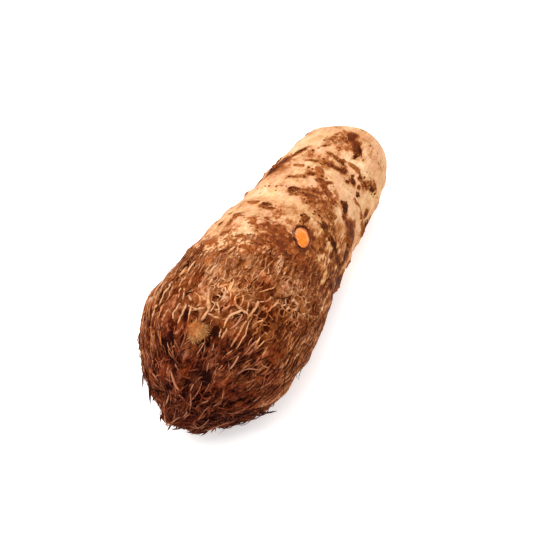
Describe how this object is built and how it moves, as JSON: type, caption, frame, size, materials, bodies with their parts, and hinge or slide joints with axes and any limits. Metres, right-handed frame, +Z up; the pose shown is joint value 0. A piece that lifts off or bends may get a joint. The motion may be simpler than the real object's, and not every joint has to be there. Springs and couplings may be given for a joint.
{
  "type": "cocoyam corm",
  "caption": "Whole cocoyam corm lying on its side: smooth scarred basal end, thicker fibrous growing end with a shaggy tip.",
  "frame": {"origin": "centre of the bounding box in X and Y, on the ground that the corm rests on", "axes": "+X along the corm from the smooth basal end to the shaggy growing tip, +Y across it, +Z up"},
  "size_m": [0.188, 0.0762, 0.0728],
  "materials": {
    "corm_skin": "dry, matt, corky skin under worn leaf-base fibres"
  },
  "bodies": {
    "root": {"corm": "corm_skin"}
  },
  "joints": []
}
